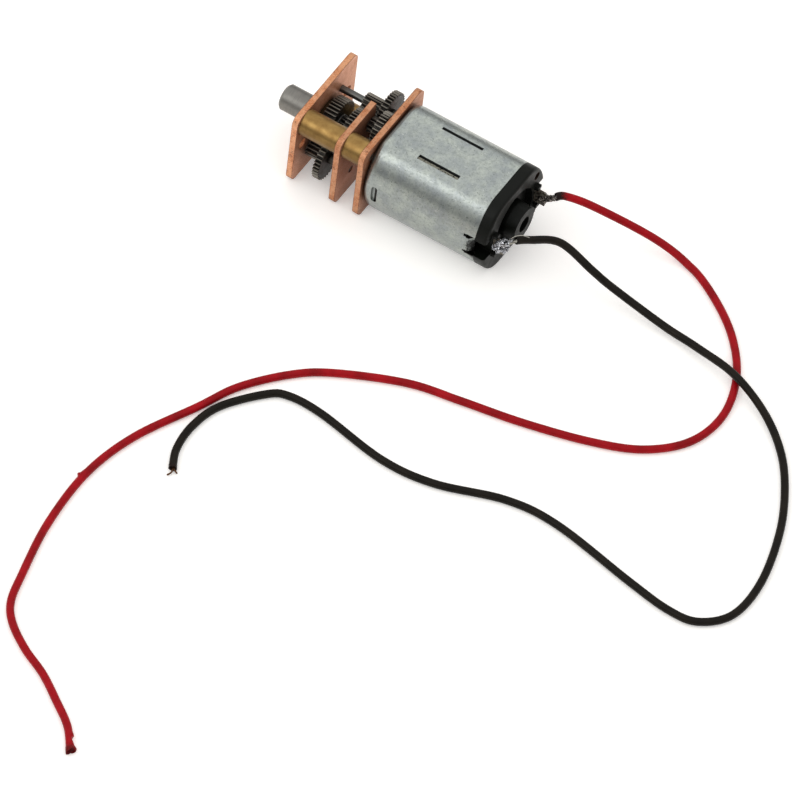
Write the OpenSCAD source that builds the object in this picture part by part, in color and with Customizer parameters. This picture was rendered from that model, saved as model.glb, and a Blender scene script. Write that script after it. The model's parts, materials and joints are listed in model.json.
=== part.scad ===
// Miniature geared dc motor: three-plate open gearbox on a flat-sided can motor.
// The output shaft points along +X from the front face of the front plate, +Z is normal
// to the flat sides, and the motor lies on its lower flat. All lengths are in millimetres.

/* [Gearbox plates] */
// Width of the plates, across the flats' length
plate_w = 12; // [11.6:0.1:14]
// Height of the plates, flat to flat
plate_h = 10; // [9.8:0.1:12]
// Thickness of each plate
plate_t = 0.7; // [0.6:0.05:0.8]
// Corner radius of the plates
plate_r = 1.0; // [0.4:0.1:1.4]
// Length of the gearbox over its three plates
gearbox_len = 9; // [8.9:0.1:9.4]
// Distance from the front face to the middle plate
middle_x = 5.35; // [5.2:0.05:5.4]
// Spacing of the two tapped mounting holes
mount_spacing = 9; // [8.6:0.1:9.4]
// Bore of the tapped mounting holes
mount_hole_d = 1.3; // [1.1:0.05:1.5]

/* [Output shaft] */
// Diameter of the output shaft
shaft_d = 3; // [2:0.1:3.2]
// Length of the output shaft in front of the plate
shaft_out = 4.3; // [3:0.1:12]
// Running clearance of shafts and wheels on a radius
run_gap = 0.02; // [0.01:0.01:0.05]

/* [Gears] */
// Module of every gear
gear_m = 0.14; // [0.135:0.005:0.145]
// Teeth on the motor pinion
motor_teeth = 12; // [12:1:12]
// Teeth on the first wheel
first_teeth = 28; // [28:1:28]
// Teeth on the output gear
output_teeth = 40; // [40:1:40]
// Thinning of each tooth at the pitch circle, as a part of the module
backlash = 0.14; // [0.08:0.02:0.2]

/* [Motor] */
// Diameter of the motor can over its round sides
can_d = 12; // [11.8:0.1:12.4]
// Height of the motor can over its flats
can_h = 10; // [9.8:0.1:10.4]
// Length of the can
can_len = 14; // [13.8:0.1:16]
// Thickness of the can wall
can_wall = 0.5; // [0.4:0.05:0.6]
// Length of the end cap behind the can
cap_out = 1.4; // [1.2:0.1:2]
// Diameter of the motor shaft
motor_shaft_d = 1; // [0.8:0.05:1.1]

/* [Leads] */
// Outside diameter of each lead
lead_d = 0.88; // [0.7:0.02:1]
// Diameter of the twisted bare strands
strand_d = 0.42; // [0.3:0.02:0.5]

/* [Hidden] */

// Faces of the plates along X
middle_back = -middle_x - plate_t;
rear_front = -gearbox_len + plate_t;
rear_back = -gearbox_len;

// Gear train: tooth counts, pitch radii and centre distances
second_teeth = 35;
first_small = 11;
second_small = 13;
third_teeth = 38;
third_small = 16;
fourth_teeth = 35;
fourth_small = 11;
centre_rear = gear_m * (motor_teeth + first_teeth) / 2;
centre_idle = gear_m * (first_small + second_teeth) / 2;
centre_main = gear_m * (second_small + third_teeth) / 2;
root_depth = 1.2;
pressure = 20;
// The top pin stands over the motor shaft; the far pin is placed by its two centre distances
top_at = [0, centre_rear];
far_z = (pow(centre_main, 2) - pow(centre_idle, 2) + pow(centre_rear, 2)) / (2 * centre_rear);
far_at = [-sqrt(pow(centre_main, 2) - pow(far_z, 2)), far_z];
near_at = -far_at;
axis_at = [0, 0];
// Directions of the lines of centres, in the plane of the plates
function heading(from, to) = atan2(to[1] - from[1], to[0] - from[0]);
// Turn of a gear whose tooth space meets a tooth of the gear before it
function mate(turn, teeth, other, toward) =
    toward + 180 - 360 / other * (0.5 - (toward - turn) * teeth / 360);
motor_turn = 0;
first_turn = mate(motor_turn, motor_teeth, first_teeth, heading(axis_at, top_at));
second_turn = mate(first_turn, first_small, second_teeth, heading(top_at, far_at));
third_turn = mate(second_turn, second_small, third_teeth, heading(far_at, axis_at));
fourth_turn = mate(third_turn, third_small, fourth_teeth, heading(axis_at, near_at));
output_turn = mate(fourth_turn, fourth_small, output_teeth, heading(near_at, axis_at));

// Places and radii of the gearbox hardware
post_at = [4.3, 3.5];
post_r = 1.5;
screw_r = 0.5;
screw_gap = 0.05;
screw_head_r = 1;
screw_head_len = 0.45;
slot_w = 0.25;
slot_depth = 0.2;
motor_screw_y = 4;
motor_screw_head = 0.5;
pin_r = 0.4;
top_pin_r = 0.3;
pin_inset = 0.1;
bush_r = 2;
bush_flange_r = 2.3;
bush_end = 1.1;
spigot_r = 0.5;
spigot_end = 5.95;
shoulder_x = 2.65;
journal_r = shaft_d / 2 - 0.2;
journal_x = 0.05;
shaft_chamfer = 0.25;
cut_y = -1.1;
cut_z = 0.2;
cut_r = 0.5;
boss_r = 1.8;
boss_gap = 0.1;
// Stations of the gears along X
output_gear_x = [-2.6, -1.2];
fourth_pinion_x = [-2.75, -0.85];
fourth_wheel_x = [-3.55, -2.8];
third_pinion_x = [-3.65, -2.75];
third_wheel_x = [-4.65, -3.75];
second_pinion_x = [-6.15, -3.65];
second_wheel_x = [-7, -6.2];
first_pinion_x = [-7.1, -6.15];
first_wheel_x = [-8.1, -7.2];
motor_pinion_x = [-8.2, -7.15];
// Hub radii that the wheels are pressed on, and where the hubs end
fourth_hub = 0.6;
third_hub = 0.9;
second_hub = 0.7;
first_hub = 0.6;
front_stop = -middle_x + 0.1;
rear_stop = rear_front + 0.1;

// Motor interior
can_back = rear_back - can_len;
cap_back = can_back - cap_out;
can_in_r = can_d / 2 - can_wall;
can_in_h = can_h / 2 - can_wall;
sliver = 0.01;
weld = 0.1;
can_round = 1;
can_blend = 3;
can_in_blend = can_blend - can_wall;
magnet_in_r = 3.95;
magnet_edge = 2.95;
magnet_h = 4.4;
magnet_x = [-19.2, -11.4];
core_x = [-18, -12];
core_r = 3.65;
core_shoe = 0.6;
core_arm = 1;
core_hub = 1.2;
coil_w = 2.5;
coil_x = [-18.7, -11.3];
coil_in = 1.35;
coil_out = 2.75;
collar_r = 1;
collar_len = 1.3;
washer_t = 0.2;
washer_gap = 0.1;
commutator_x = [-21.6, -19.5];
commutator_r = 1.15;
commutator_body_r = 0.9;
segment_gap = 12;
bearing_r = 1.3;
shaft_r = motor_shaft_d / 2;
shaft_front = -7.15;
shaft_back = -24.7;
// Lanced slots and tabs of the can
slit_x = [-18.55, -13.5];
slit_y = 2.4;
slit_w = 0.36;
lip_gap = 0.22;
lip_w = 0.4;
lip_drop = 0.16;
window_x = -10.6;
window_w = 0.7;
window_h = 2.3;
notch_h = 2.5;
notch_x = -22.25;
relief_x = -21.65;
relief_w = 0.36;
// End cap
skirt_x = -21.4;
skirt_in_r = 4.65;
skirt_in_h = 3.9;
skirt_blend = 2;
cap_floor_x = -22.6;
rear_bearing_len = 1.6;
cap_boss_r = 2.15;
cap_boss_x = -25.65;
cap_bore_r = 0.95;
moat_r = 3.7;
moat_depth = 0.9;
cap_round = 0.35;
vent_at = [-4.1, 3.1];
vent_r = 0.5;
vent_depth = 0.4;
terminal_y = 4;
terminal_t = 0.25;
terminal_x = [-25.7, -20.1];
terminal_z = [-0.9, 1.1];
notch_y = terminal_y + terminal_t + 0.1;
ridge_y = 3.8;
ridge_z = 1.15;
ridge = [0.6, 0.7, 0.5];
brush_x = [-21.1, -20.2];
brush_t = 0.1;
brush_reach = -1.3;

// Routes of the leads: out of the solder joints, down to the ground and along it
lead_z = -can_h / 2 + lead_d / 2 + 0.01;
red_route = [[-26.9, -4.1, 1.4], [-27.7, -4.9, 1.3], [-30.5, -6.5, -0.1], [-36.7, -8.9, -3.2],
    [-41.2, -8.9, lead_z], [-45.7, -6.7, lead_z], [-50, -3.3, lead_z], [-53.3, 1.2, lead_z],
    [-54.8, 6.5, lead_z], [-53.8, 11.4, lead_z], [-50.3, 15.2, lead_z], [-45.1, 17.6, lead_z],
    [-38, 19.6, lead_z], [-31.3, 20.9, lead_z], [-25.4, 22.2, lead_z], [-18.4, 25.6, lead_z],
    [-14.8, 28.5, lead_z], [-11.3, 33.1, lead_z], [-9.3, 37.8, lead_z], [-6, 45.3, lead_z],
    [-4.6, 52.4, lead_z], [-5, 60.4, lead_z], [-6.5, 67.7, lead_z], [-7.5, 71.3, lead_z],
    [-9.2, 73.6, lead_z], [-12.1, 75.7, lead_z], [-15.4, 77.4, lead_z], [-18.5, 79.6, lead_z],
    [-21.2, 81.7, lead_z], [-23.2, 84.3, lead_z]];
black_route = [[-26.8, 3.8, 1.9], [-27.9, 2.6, 1.6], [-30.2, 0, 0.2], [-34.3, -0.1, -1.6],
    [-36.7, -0.5, -3.1], [-43.4, -0.1, -4.2], [-47.8, 0.4, -4.1], [-53.2, 1.6, -3.6],
    [-58.1, 3.6, -4.2], [-62.1, 6.7, lead_z], [-65.2, 10.8, lead_z], [-67.9, 16.2, lead_z],
    [-69.8, 23, lead_z], [-69.7, 28.4, lead_z], [-67.2, 31.4, lead_z], [-63.8, 31.9, lead_z],
    [-58.6, 31.1, lead_z], [-48.5, 29.1, lead_z], [-42.3, 29.4, lead_z], [-34.9, 32, lead_z],
    [-28.7, 32.5, lead_z], [-20.4, 31, lead_z], [-16.2, 31, lead_z], [-14.1, 32.3, lead_z],
    [-11.1, 36.5, lead_z], [-10.2, 40.4, lead_z], [-10.5, 43.9, lead_z], [-11.4, 46, lead_z]];
red_joint = [[-25.2, -4.1, 0.2], [-26, -4, 0.6], [-26.95, -4.13, 1.4]];
black_joint = [[-25.4, 4.2, 0.4], [-26.1, 4.1, 1.2], [-26.85, 3.75, 1.9]];
bare_one = [[-11.3, 45.8, lead_z], [-11.8, 46.4, lead_z], [-12.3, 46.6, lead_z]];
bare_two = [[-11.3, 45.8, lead_z], [-11.7, 46.6, lead_z], [-11.6, 47.2, lead_z]];
lead_sides = 8;
bare_one_r = 0.09;
bare_two_r = 0.12;
// Solder on the terminals, a chain of balls: X, Y, Z and radius of each
near_balls = [[-25.3, 4.35, -0.1, 0.72], [-26, 4.3, 0.6, 0.6], [-25.2, 4.45, -0.85, 0.5],
    [-26.4, 4.1, 0.1, 0.5]];
far_balls = [[-25.25, -4.3, 0.1, 0.68], [-25.9, -4.25, 0.3, 0.55], [-26.4, -4.2, 0.7, 0.4]];

// ---- shared shapes ----

// A flat outline drawn in Y and Z, extruded along X between two stations
module between(span) {
    translate([span[0], 0, 0]) rotate([90, 0, 90])
        linear_extrude(span[1] - span[0]) children();
}

module rod(span, r, at = [0, 0], sides = 48) {
    between(span) translate(at) circle(r, $fn = sides);
}

module tube(span, r, bore, at = [0, 0], sides = 48) {
    between(span) translate(at) difference() {
        circle(r, $fn = sides);
        circle(bore, $fn = sides);
    }
}

module rounded_plate(w, h, r) {
    square([w - 2 * r, h], center = true);
    square([w, h - 2 * r], center = true);
    for (sy = [-1, 1], sz = [-1, 1])
        translate([sy * (w / 2 - r), sz * (h / 2 - r)]) circle(r, $fn = 32);
}

// Round outline cut to two flats, with a large radius where a flat meets the round side
module flatted(r, half_h, blend) {
    offset(r = blend, $fn = 96) offset(delta = -blend) intersection() {
        circle(r, $fn = 96);
        square([2 * r, 2 * half_h], center = true);
    }
}

function involute(a) = tan(a) * 180 / PI - a;

// Half the angle that a tooth fills at radius r
function half_tooth(teeth, r) =
    let (pitch = gear_m * teeth / 2, base = pitch * cos(pressure))
    90 / teeth - backlash * gear_m / pitch * 90 / PI + involute(pressure)
        - (r > base ? involute(acos(base / r)) : 0);

module gear_outline(teeth, turn) {
    pitch = gear_m * teeth / 2;
    root = pitch - root_depth * gear_m;
    tip = pitch + gear_m;
    rise = [root, max(root + 0.01, pitch - 0.7 * gear_m), pitch, tip];
    flank = [for (r = rise) [r, half_tooth(teeth, r)]];
    outline = [for (k = [0 : teeth - 1], side = [-1, 1], i = [0 : 3])
        let (f = flank[side < 0 ? i : 3 - i], a = turn + 360 * k / teeth + side * f[1])
        f[0] * [cos(a), sin(a)]];
    polygon(outline);
}

module toothed(span, teeth, turn, at, bore) {
    between(span) translate(at) difference() {
        gear_outline(teeth, turn);
        circle(bore, $fn = 40);
    }
}

// Eight-sided ring swept along a route
function unit(v) = v / norm(v);

function ring(p, along, r) =
    let (side = unit(cross(along, [0, 0, 1])), up = cross(side, along))
    [for (k = [0 : lead_sides - 1]) let (a = 360 * (k + 0.5) / lead_sides)
        p + r * (cos(a) * side + sin(a) * up)];

module swept(p, r) {
    n = len(p);
    points = [for (i = [0 : n - 1])
        each ring(p[i], unit(p[min(i + 1, n - 1)] - p[max(i - 1, 0)]), r)];
    walls = [for (i = [0 : n - 2], k = [0 : lead_sides - 1])
        let (m = (k + 1) % lead_sides)
        [i * lead_sides + k, i * lead_sides + m, (i + 1) * lead_sides + m,
            (i + 1) * lead_sides + k]];
    start = [for (k = [0 : lead_sides - 1]) lead_sides - 1 - k];
    finish = [for (k = [0 : lead_sides - 1]) (n - 1) * lead_sides + k];
    polyhedron(points, concat([start], walls, [finish]), convexity = 12);
}

// ---- gearbox frame ----

module corner_pair() {
    for (s = [-1, 1]) translate(s * post_at) children();
}

module front_plate() {
    color("#c98b62") difference() {
        between([-plate_t, 0]) difference() {
            rounded_plate(plate_w, plate_h, plate_r);
            circle(bush_r, $fn = 64);
            corner_pair() circle(screw_r + screw_gap, $fn = 32);
            for (p = [far_at, near_at]) translate(p) circle(pin_r, $fn = 32);
            for (s = [-1, 1]) translate([s * mount_spacing / 2, 0])
                circle(mount_hole_d / 2, $fn = 32);
        }
        for (s = [-1, 1]) translate([0, s * post_at[0], s * post_at[1]]) screw_cone(0);
    }
}

// Countersunk head, wide at the front face
module screw_cone(extra) {
    rotate([0, -90, 0]) cylinder(h = screw_head_len, r1 = screw_head_r + extra,
        r2 = screw_r + screw_gap, $fn = 32);
}

module front_bushing() {
    color("#b8923f") difference() {
        union() {
            rod([-bush_end, 0], bush_r, sides = 64);
            rod([-bush_end, -plate_t], bush_flange_r, sides = 64);
        }
        rod([-bush_end - 1, 1], journal_r + run_gap, sides = 64);
    }
}

// The middle plate is cut away at the far upper corner, where the long pinion passes
module middle_plate() {
    color("#c98b62") between([middle_back, -middle_x]) difference() {
        rounded_plate(plate_w, plate_h, plate_r);
        translate([cut_y - plate_w, cut_z + cut_r]) square([plate_w, plate_h]);
        translate([cut_y - cut_r - plate_w, cut_z]) square([plate_w, plate_h]);
        translate([cut_y - cut_r, cut_z + cut_r]) circle(cut_r, $fn = 32);
        circle(spigot_r + run_gap, $fn = 32);
        translate(near_at) circle(pin_r, $fn = 32);
        translate(top_at) circle(top_pin_r, $fn = 32);
        corner_pair() circle(screw_r + screw_gap, $fn = 32);
    }
}

module rear_plate() {
    color("#c98b62") between([rear_back, rear_front]) difference() {
        rounded_plate(plate_w, plate_h, plate_r);
        circle(boss_r + boss_gap, $fn = 64);
        translate(far_at) circle(pin_r, $fn = 32);
        translate(top_at) circle(top_pin_r, $fn = 32);
        corner_pair() circle(screw_r, $fn = 32);
        for (s = [-1, 1]) translate([s * motor_screw_y, 0])
            circle(screw_r + screw_gap, $fn = 32);
    }
}

module post(span, side) {
    color("#ad8a45") tube(span, post_r, screw_r + screw_gap, side * post_at, 64);
}

module near_front_post() {
    post([-middle_x, -plate_t], 1);
}

module far_front_post() {
    post([-middle_x, -plate_t], -1);
}

module near_rear_post() {
    post([rear_front, middle_back], 1);
}

module far_rear_post() {
    post([rear_front, middle_back], -1);
}

module post_screws() {
    color("#8a8a88") for (s = [-1, 1]) translate([0, s * post_at[0], s * post_at[1]])
        difference() {
            union() {
                screw_cone(0);
                rod([rear_back + 0.05, -screw_head_len / 2], screw_r, sides = 32);
            }
            translate([-slot_depth, -slot_w / 2, -plate_h])
                cube([1, slot_w, 2 * plate_h]);
        }
}

module motor_screws() {
    color("#8a8a88") for (s = [-1, 1]) translate([0, s * motor_screw_y, 0]) difference() {
        union() {
            rod([rear_front, rear_front + motor_screw_head], screw_head_r - 0.1, sides = 32);
            rod([rear_back - can_wall, rear_front], screw_r, sides = 32);
        }
        translate([rear_front + motor_screw_head - slot_depth, -slot_w / 2, -plate_h])
            cube([1, slot_w, 2 * plate_h]);
    }
}

module far_pin() {
    color("#3f3f42") rod([rear_back + pin_inset, -pin_inset], pin_r, far_at, 32);
}

module near_pin() {
    color("#3f3f42") rod([middle_back + pin_inset, -pin_inset], pin_r, near_at, 32);
}

module top_pin() {
    color("#3f3f42")
        rod([rear_back + pin_inset, -middle_x - pin_inset], top_pin_r, top_at, 32);
}

// ---- gear train ----

module output_shaft() {
    color("#8d8f92") {
        rotate([0, 90, 0]) rotate_extrude($fn = 64) polygon([
            [0, -shoulder_x], [journal_r, -shoulder_x], [journal_r, journal_x],
            [shaft_d / 2, journal_x], [shaft_d / 2, shaft_out - shaft_chamfer],
            [shaft_d / 2 - shaft_chamfer, shaft_out], [0, shaft_out]]);
        rod([-spigot_end, -shoulder_x], spigot_r, sides = 32);
    }
}

module output_gear() {
    color("#4b4b4d")
        toothed(output_gear_x, output_teeth, output_turn, axis_at, journal_r);
}

// A small gear with a plain hub behind it that its wheel is pressed on
module pinion(teeth_span, hub_end, teeth, turn, at, hub, bore) {
    color("#55565a") {
        toothed(teeth_span, teeth, turn, at, bore);
        tube([hub_end, teeth_span[0]], hub, bore, at, 40);
    }
}

module wheel(span, teeth, turn, at, hub) {
    color("#4b4b4d") toothed(span, teeth, turn, at, hub);
}

module fourth_pinion() {
    pinion(fourth_pinion_x, front_stop, fourth_small, fourth_turn, near_at, fourth_hub,
        pin_r + run_gap);
}

module fourth_wheel() {
    wheel(fourth_wheel_x, fourth_teeth, fourth_turn, near_at, fourth_hub);
}

module third_pinion() {
    pinion(third_pinion_x, front_stop, third_small, third_turn, axis_at, third_hub,
        spigot_r + run_gap);
}

module third_wheel() {
    wheel(third_wheel_x, third_teeth, third_turn, axis_at, third_hub);
}

module second_pinion() {
    pinion(second_pinion_x, rear_stop, second_small, second_turn, far_at, second_hub,
        pin_r + run_gap);
}

module second_wheel() {
    wheel(second_wheel_x, second_teeth, second_turn, far_at, second_hub);
}

module first_pinion() {
    pinion(first_pinion_x, rear_stop, first_small, first_turn, top_at, first_hub,
        top_pin_r + run_gap);
}

module first_wheel() {
    wheel(first_wheel_x, first_teeth, first_turn, top_at, first_hub);
}

module motor_pinion() {
    color("#a8843c") toothed(motor_pinion_x, motor_teeth, motor_turn, axis_at, shaft_r);
}

// ---- motor housing ----

// Deep-drawn cup with a rounded edge around its front
module drawn_cup(r, half_h, blend, front, back, round) {
    hull() {
        between([back, front - round]) flatted(r, half_h, blend);
        for (a = [18:18:90]) translate([front - round * (1 - sin(a)), 0, 0])
            between([-sliver, 0])
                offset(delta = -round * (1 - cos(a))) flatted(r, half_h, blend);
    }
}

module motor_can() {
    color("#aab1ae") {
        difference() {
            drawn_cup(can_d / 2, can_h / 2, can_blend, rear_back, can_back, can_round);
            drawn_cup(can_in_r, can_in_h, can_in_blend, rear_back - can_wall, can_back - 1,
                can_round - can_wall);
            rod([rear_back - can_wall - 1, rear_back + 1], bearing_r);
            for (s = [-1, 1]) {
                translate([0, s * motor_screw_y, 0])
                    rod([rear_back - can_wall - 1, rear_back + 1], screw_r, sides = 32);
                can_slits(s);
                side_cuts(s);
            }
        }
        // Collar that centres the motor in the rear plate
        tube([rear_back, rear_front + 0.05], boss_r, bearing_r, sides = 64);
        for (s = [-1, 1]) {
            lanced_lip(s);
            crimp_tab(s);
            window_tab(s);
        }
    }
}

// Slits in both flats beside the magnets: the near one is lanced, with its lip pressed in
module can_slits(side) {
    z = side * can_h / 2 - can_wall * 1.5;
    length = slit_x[1] - slit_x[0];
    translate([slit_x[0], slit_y - (lip_gap + lip_w) / 2, z])
        cube([length, lip_gap + lip_w, can_wall * 3]);
    translate([slit_x[0], -slit_y - slit_w / 2, z]) cube([length, slit_w, can_wall * 3]);
}

module lanced_lip(side) {
    z = side * (can_h / 2 - can_wall / 2 - lip_drop);
    translate([slit_x[0] - weld, slit_y + (lip_gap - lip_w) / 2, z - can_wall / 2])
        cube([slit_x[1] - slit_x[0] + 2 * weld, lip_w + weld, can_wall]);
}

module side_cuts(side) {
    // Window near the front, in the middle of the round side
    translate([window_x, side * can_d / 2, 0]) rotate([90, 0, 0])
        linear_extrude(can_wall * 4, center = true) {
            square([window_w, window_h - window_w], center = true);
            for (t = [-1, 1]) translate([0, t * (window_h - window_w) / 2])
                circle(window_w / 2, $fn = 32);
        }
    // Notch in the rear rim with a relief slit at each end
    translate([can_back - 1, side * can_d / 2 - 1, -notch_h / 2])
        cube([notch_x - can_back + 1, 2, notch_h]);
    for (t = [-1, 1]) translate([can_back - 1, side * can_d / 2 - 1,
        t * notch_h / 2 - relief_w / 2])
        cube([relief_x - can_back + 1, 2, relief_w]);
}

// Tab of the rim bent inwards over the end cap
module crimp_tab(side) {
    tab_h = notch_h - relief_w;
    translate([0, 0, -tab_h / 2]) linear_extrude(tab_h) polygon([
        [notch_x, side * (can_in_r + 0.45)], [notch_x, side * (can_in_r - 0.05)],
        [notch_x - 0.35, side * (can_in_r - 0.4)],
        [notch_x - 0.6, side * (can_in_r - 0.15)]]);
}

// Tongue left standing inside the window
module window_tab(side) {
    translate([window_x + 0.05, side * (can_in_r + 0.02), 0])
        cube([window_w, 0.35, window_h + 0.3], center = true);
}

module front_bearing() {
    color("#9a7b3a") tube([rear_back - can_wall - 0.1, rear_front + 0.05], bearing_r,
        shaft_r + run_gap);
}

module magnet(side) {
    color("#3a3a3c") between(magnet_x) intersection() {
        difference() {
            flatted(can_in_r, can_in_h, can_in_blend);
            circle(magnet_in_r, $fn = 96);
        }
        translate([side > 0 ? magnet_edge : -can_d - magnet_edge, -magnet_h])
            square([can_d, 2 * magnet_h]);
    }
}

module near_magnet() {
    magnet(1);
}

module far_magnet() {
    magnet(-1);
}

// ---- rotor ----

module motor_shaft() {
    color("#9a9c9e") rod([shaft_back, shaft_front], shaft_r, sides = 40);
}

module pole_outline() {
    circle(core_hub, $fn = 48);
    for (k = [0 : 2]) rotate(120 * k) {
        translate([0, -core_arm / 2]) square([core_r - core_shoe / 2, core_arm]);
        intersection() {
            difference() {
                circle(core_r, $fn = 96);
                circle(core_r - core_shoe, $fn = 96);
            }
            polygon([[0, 0], [2 * core_r, -2 * core_r * tan(50)],
                [2 * core_r, 2 * core_r * tan(50)]]);
        }
    }
}

module rotor_core() {
    color("#6e6f72") between(core_x) difference() {
        pole_outline();
        circle(shaft_r, $fn = 40);
    }
}

module rotor_windings() {
    color("#a5562c") for (k = [0 : 2]) rotate([120 * k, 0, 0]) difference() {
        between(coil_x) translate([coil_in, -coil_w / 2])
            square([coil_out - coil_in, coil_w]);
        between(core_x) translate([0, -core_arm / 2]) square([core_r, core_arm]);
    }
}

module rotor_collars() {
    color("#e4ddc8") {
        tube([core_x[1], core_x[1] + collar_len], collar_r, shaft_r);
        tube([core_x[0] - collar_len, core_x[0]], collar_r, shaft_r);
    }
}

module commutator_body() {
    color("#2b2b2b")
        tube([commutator_x[0], commutator_x[1]], commutator_body_r, shaft_r);
}

module commutator_segments() {
    color("#b87f4c") between(commutator_x) difference() {
        circle(commutator_r, $fn = 72);
        circle(commutator_body_r, $fn = 72);
        for (k = [0 : 2]) rotate(120 * k + 60) polygon([[0, 0],
            [2, -2 * tan(segment_gap / 2)], [2, 2 * tan(segment_gap / 2)]]);
    }
}

module washer(x) {
    color("#d8d3c4") tube([x - washer_t, x], collar_r, shaft_r);
}

module front_washer() {
    washer(core_x[1] + collar_len + washer_gap + washer_t);
}

module rear_washer() {
    washer(commutator_x[0] - washer_gap);
}

// ---- end cap and terminals ----

module cap_blank() {
    // Plug and skirt inside the can
    between([can_back, skirt_x]) difference() {
        flatted(can_in_r, can_in_h, can_in_blend);
        flatted(skirt_in_r, skirt_in_h, skirt_blend);
    }
    between([can_back, cap_floor_x]) flatted(can_in_r, can_in_h, can_in_blend);
    // Flange behind the can, with a rounded rear edge
    rotate([0, 180, 0])
        drawn_cup(can_d / 2, can_h / 2, can_blend, -cap_back, -can_back, cap_round);
    rotate([0, -90, 0]) translate([0, 0, -cap_back]) cylinder(
        h = cap_back - cap_boss_x, r1 = cap_boss_r, r2 = cap_boss_r - 0.2, $fn = 64);
    // Ridges on both sides of each terminal
    for (s = [0, 1], t = [0, 1]) mirror([0, s, 0]) mirror([0, 0, t])
        translate([cap_back - ridge.x + 0.1, ridge_y, ridge_z]) cube(ridge);
}

module end_cap() {
    color("#1d1e1d") difference() {
        cap_blank();
        rod([cap_floor_x - rear_bearing_len, cap_floor_x + 1], bearing_r);
        rod([cap_boss_x - 1, cap_floor_x], cap_bore_r);
        tube([cap_back - sliver, cap_back + moat_depth], moat_r, cap_boss_r, sides = 64);
        rod([cap_back - 1, cap_back + vent_depth], vent_r, vent_at, 32);
        for (s = [-1, 1]) {
            terminal_blank(s, cap_back - 2, skirt_x + 1);
            // Notch that leaves the terminal free at the side
            translate([cap_back - 1, s > 0 ? notch_y : -notch_y - can_d, -notch_h / 2])
                cube([notch_x - cap_back + 1, can_d, notch_h]);
        }
    }
}

module terminal_blank(side, back, front) {
    translate([back, side > 0 ? terminal_y : -terminal_y - terminal_t, terminal_z[0]])
        cube([front - back, terminal_t, terminal_z[1] - terminal_z[0]]);
}

module terminal(side) {
    color("#b5a26a") difference() {
        terminal_blank(side, terminal_x[0], terminal_x[1]);
        translate([terminal_x[0] + 0.6, side * terminal_y, 0.2]) rotate([90, 0, 0])
            cylinder(h = 2, r = 0.25, center = true, $fn = 24);
    }
}

module near_terminal() {
    terminal(1);
}

module far_terminal() {
    terminal(-1);
}

// Leaf spring from its terminal to one side of the commutator
module brush(side) {
    y0 = side > 0 ? brush_reach : -terminal_y;
    z0 = side > 0 ? commutator_r + 0.05 : -commutator_r - 0.05 - brush_t;
    color("#c9a66b") {
        translate([brush_x[0], y0, z0])
            cube([brush_x[1] - brush_x[0], terminal_y - brush_reach, brush_t]);
        if (side < 0) translate([brush_x[0], -terminal_y, z0])
            cube([brush_x[1] - brush_x[0], brush_t, terminal_z[1] - z0]);
    }
}

module near_brush() {
    brush(1);
}

module far_brush() {
    brush(-1);
}

module rear_bearing() {
    color("#9a7b3a") tube([cap_floor_x - rear_bearing_len, cap_floor_x], bearing_r,
        shaft_r + run_gap);
}

module solder(balls) {
    for (i = [1:len(balls) - 1]) hull() for (b = [balls[i - 1], balls[i]])
        translate([b[0], b[1], b[2]]) sphere(b[3], $fn = 20);
}

module near_solder() {
    color("#c4c4c0") solder(near_balls);
}

module far_solder() {
    color("#8d8577") solder(far_balls);
}

// ---- leads ----

module black_strands() {
    color("#b9aa8c") swept(black_joint, strand_d / 2);
}

module red_strands() {
    color("#8a6a4a") swept(red_joint, strand_d / 2);
}

module black_lead() {
    color("#262625") swept(black_route, lead_d / 2);
}

module red_lead() {
    color("#b3202a") swept(red_route, lead_d / 2);
}

module black_bare_end() {
    color("#b9aa8c") {
        swept(bare_one, bare_one_r);
        swept(bare_two, bare_two_r);
    }
}

front_plate();
front_bushing();
middle_plate();
rear_plate();
near_front_post();
far_front_post();
near_rear_post();
far_rear_post();
post_screws();
motor_screws();
far_pin();
near_pin();
top_pin();
output_shaft();
output_gear();
fourth_pinion();
fourth_wheel();
third_pinion();
third_wheel();
second_pinion();
second_wheel();
first_pinion();
first_wheel();
motor_pinion();
motor_can();
front_bearing();
near_magnet();
far_magnet();
motor_shaft();
rotor_core();
rotor_windings();
rotor_collars();
commutator_body();
commutator_segments();
front_washer();
rear_washer();
end_cap();
rear_bearing();
near_brush();
far_brush();
near_terminal();
far_terminal();
near_solder();
far_solder();
black_strands();
red_strands();
black_lead();
red_lead();
black_bare_end();
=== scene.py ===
"""Looks of the miniature geared dc motor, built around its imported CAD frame.

The row frame is in metres: +X out along the output shaft, +Z normal to the flats, and the
motor lies on the floor on its lower flat. Lengths are written in millimetres times MM.
"""

import json
import math

import bmesh
import bpy
from mathutils import Matrix, Vector, noise


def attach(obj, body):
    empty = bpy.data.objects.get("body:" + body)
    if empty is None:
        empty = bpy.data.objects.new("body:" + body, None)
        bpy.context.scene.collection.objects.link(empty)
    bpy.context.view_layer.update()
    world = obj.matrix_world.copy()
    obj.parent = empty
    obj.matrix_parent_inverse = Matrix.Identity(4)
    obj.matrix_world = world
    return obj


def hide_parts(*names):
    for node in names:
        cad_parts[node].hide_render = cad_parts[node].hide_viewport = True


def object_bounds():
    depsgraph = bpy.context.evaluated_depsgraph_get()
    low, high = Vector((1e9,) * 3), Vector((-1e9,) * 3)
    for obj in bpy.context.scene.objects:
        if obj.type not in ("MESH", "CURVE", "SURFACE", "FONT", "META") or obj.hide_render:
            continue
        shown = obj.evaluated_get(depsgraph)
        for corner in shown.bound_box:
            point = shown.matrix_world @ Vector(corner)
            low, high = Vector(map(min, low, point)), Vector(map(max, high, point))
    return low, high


MM = 0.001

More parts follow.
